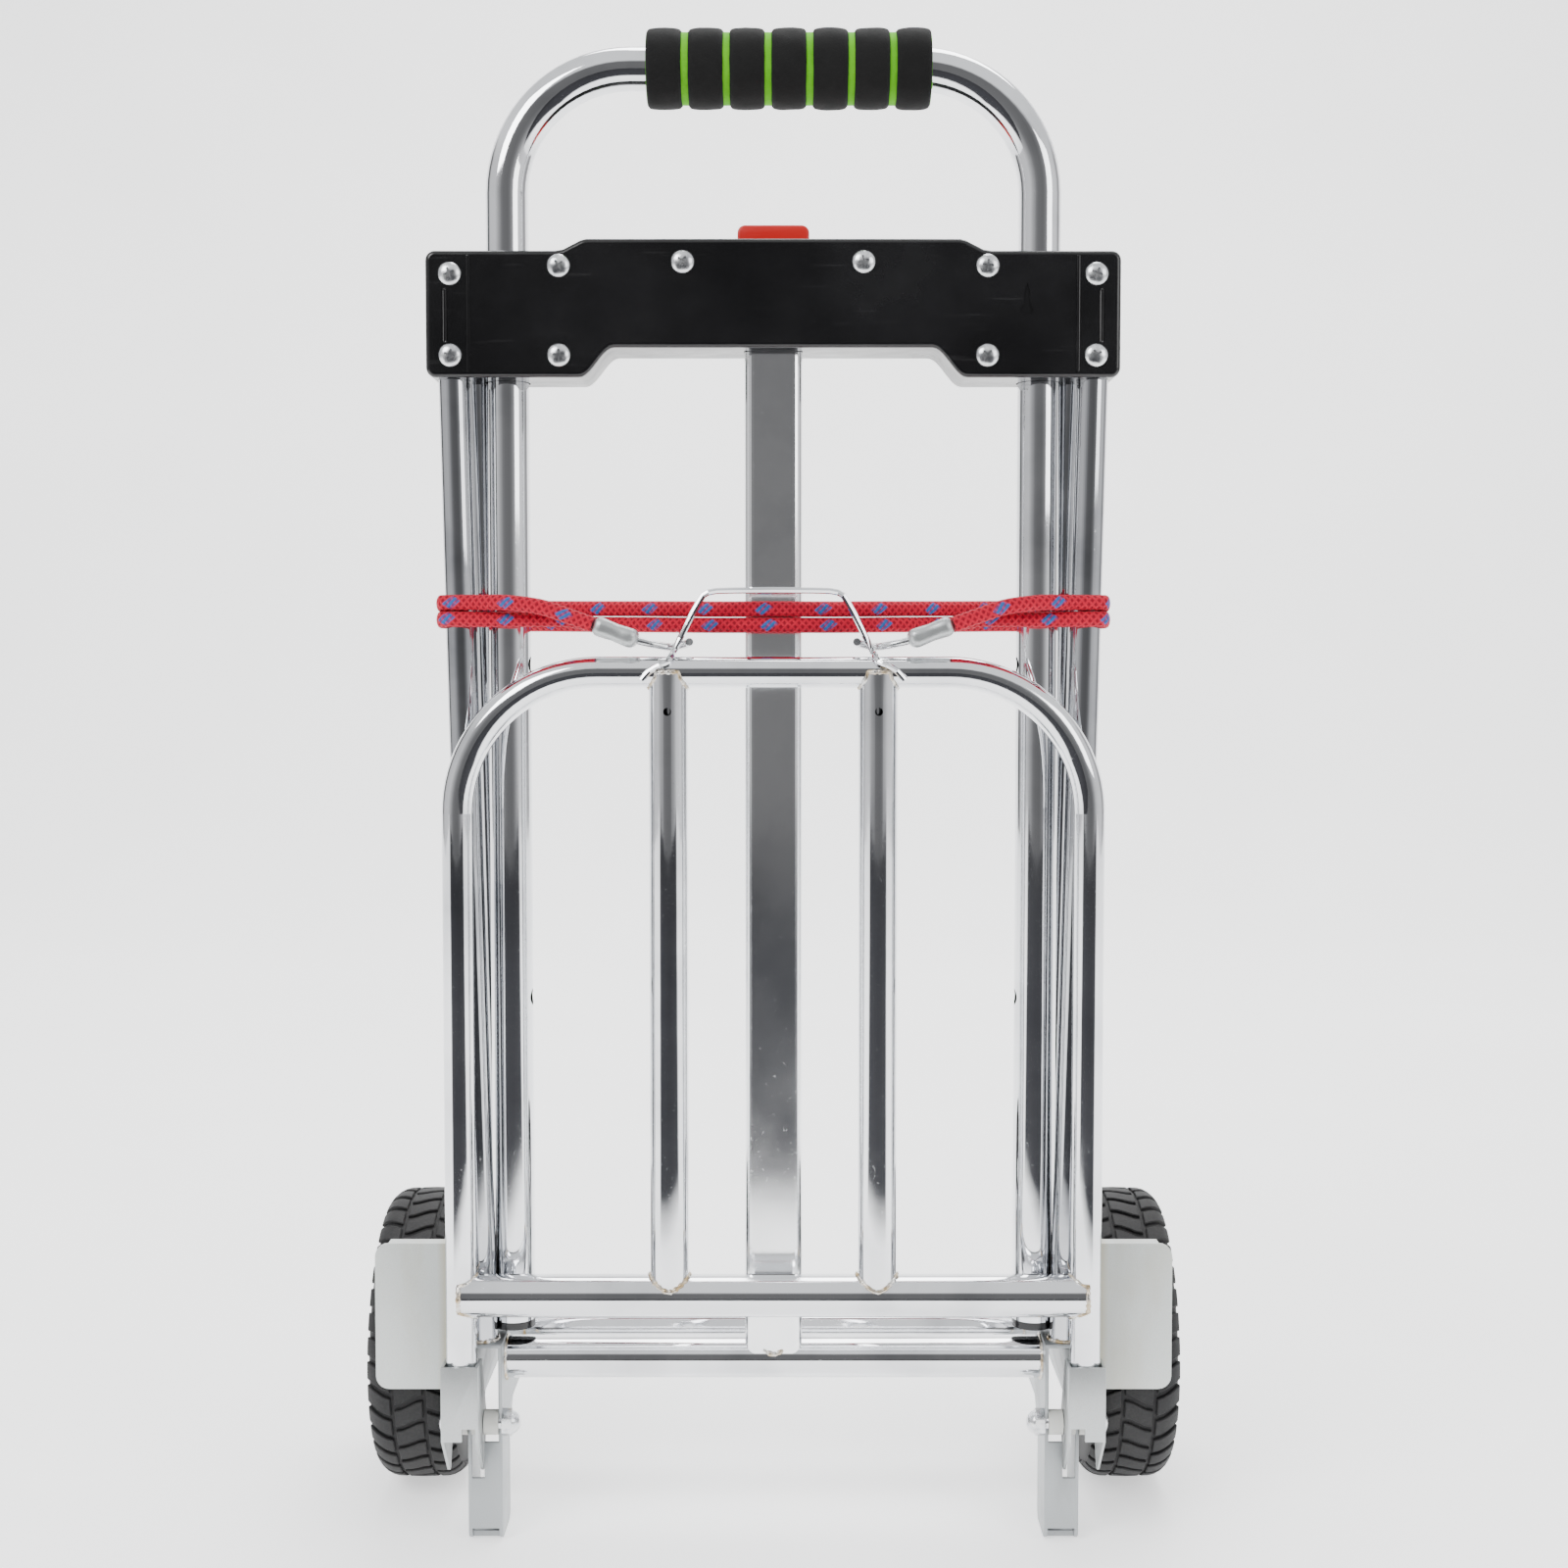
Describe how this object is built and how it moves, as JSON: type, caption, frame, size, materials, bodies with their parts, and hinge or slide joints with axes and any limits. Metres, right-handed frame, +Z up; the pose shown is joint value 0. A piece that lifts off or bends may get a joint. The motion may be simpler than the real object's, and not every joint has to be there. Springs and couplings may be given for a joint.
{
  "type": "folding luggage cart",
  "caption": "Folding luggage cart with a telescopic U-shaped handle, a push-button latch, a fold-up tubular toe plate, rubber wheels and an elastic cord.",
  "frame": {"origin": "on the floor under the centre of the cart's bounding box", "axes": "+Z up, -Y towards the folded toe plate, +X to the right when the toe plate faces the viewer"},
  "size_m": [0.4486, 0.2014, 0.7865],
  "materials": {
    "chrome_tube": "bright chrome plating on steel tube",
    "black_foam": "soft closed-cell foam",
    "green_foam": "soft closed-cell foam",
    "black_plastic": "moulded, glossy",
    "nylon": "natural nylon",
    "red_plastic": "moulded, glossy",
    "zinc_steel": "bright zinc plating",
    "silver_paint": "silver paint on folded sheet steel",
    "tyre_rubber": "moulded block tread",
    "red_cord": "braided sleeve over elastic, with blue flecks"
  },
  "bodies": {
    "frame": {"crossbar_front_shell": "black_plastic", "crossbar_rear_shell": "black_plastic", "crossbar_screws": "zinc_steel", "leg_guide_left": "nylon", "leg_guide_right": "nylon", "button_spring": "zinc_steel", "latch_spring_left": "zinc_steel", "latch_spring_right": "zinc_steel", "upright_left": "chrome_tube", "upright_right": "chrome_tube", "rear_brace_left": "chrome_tube", "rear_brace_right": "chrome_tube", "center_post": "chrome_tube", "lower_cross_tube": "chrome_tube", "axle_tube": "chrome_tube", "axle_rod": "zinc_steel", "foot_bracket_left": "silver_paint", "foot_bracket_right": "silver_paint", "fender_left": "silver_paint", "fender_right": "silver_paint", "pivot_bolt_left": "zinc_steel", "pivot_bolt_right": "zinc_steel", "pivot_nut_left": "zinc_steel", "pivot_nut_right": "zinc_steel", "pivot_spacers_left": "nylon", "pivot_spacers_right": "nylon", "wheel_spacer_left": "zinc_steel", "wheel_spacer_right": "zinc_steel", "axle_cap_left": "zinc_steel", "axle_cap_right": "zinc_steel", "bungee_strand_upper": "red_cord", "bungee_strand_lower": "red_cord", "bungee_sleeve_left": "zinc_steel", "bungee_sleeve_right": "zinc_steel", "bungee_hook_left": "zinc_steel", "bungee_hook_right": "zinc_steel"},
    "handle": {"handle_tube": "chrome_tube", "foam_grip": "black_foam", "grip_core": "green_foam", "leg_plug_left": "black_plastic", "leg_plug_right": "black_plastic"},
    "button": {"release_button": "red_plastic"},
    "latch_left": {"latch_bolt_left": "zinc_steel"},
    "latch_right": {"latch_bolt_right": "zinc_steel"},
    "toe_plate": {"toe_hoop": "chrome_tube", "toe_slat_left": "chrome_tube", "toe_slat_right": "chrome_tube", "toe_cross_tube": "chrome_tube", "cord_loop": "chrome_tube", "hinge_bracket_left": "silver_paint", "hinge_bracket_right": "silver_paint"},
    "wheel_left": {"tyre_left": "tyre_rubber", "wheel_rim_left": "black_plastic", "wheel_bearings_left": "zinc_steel"},
    "wheel_right": {"tyre_right": "tyre_rubber", "wheel_rim_right": "black_plastic", "wheel_bearings_right": "zinc_steel"}
  },
  "joints": [
    {"name": "handle_slide", "type": "slide", "parent": "frame", "child": "handle", "axis": [0, 0, 1], "range_m": [0, 0.35]},
    {"name": "button_press", "type": "slide", "parent": "frame", "child": "button", "axis": [0, 0, -1], "range_m": [0, 0.006], "stiffness_N_per_m": 300, "springref_m": -0.002, "deforming": ["button_spring"]},
    {"name": "latch_left_slide", "type": "slide", "parent": "frame", "child": "latch_left", "axis": [1, 0, 0], "range_m": [0, 0.0045], "deforming": ["latch_spring_left"]},
    {"name": "latch_right_slide", "type": "slide", "parent": "frame", "child": "latch_right", "axis": [-1, 0, 0], "range_m": [0, 0.0045], "deforming": ["latch_spring_right"]},
    {"name": "toe_plate_fold", "type": "hinge", "parent": "frame", "child": "toe_plate", "pos_m": [0, -0.0774, 0.062], "axis": [1, 0, 0], "range_deg": [0, 90]},
    {"name": "wheel_left_spin", "type": "hinge", "parent": "frame", "child": "wheel_left", "pos_m": [-0.19, 0.0206, 0.08], "axis": [1, 0, 0], "continuous": true},
    {"name": "wheel_right_spin", "type": "hinge", "parent": "frame", "child": "wheel_right", "pos_m": [0.19, 0.0206, 0.08], "axis": [1, 0, 0], "continuous": true}
  ],
  "couplings": [
    {"joint": "latch_left_slide", "follows": "button_press", "ratio": 0.7},
    {"joint": "latch_right_slide", "follows": "button_press", "ratio": 0.7}
  ]
}
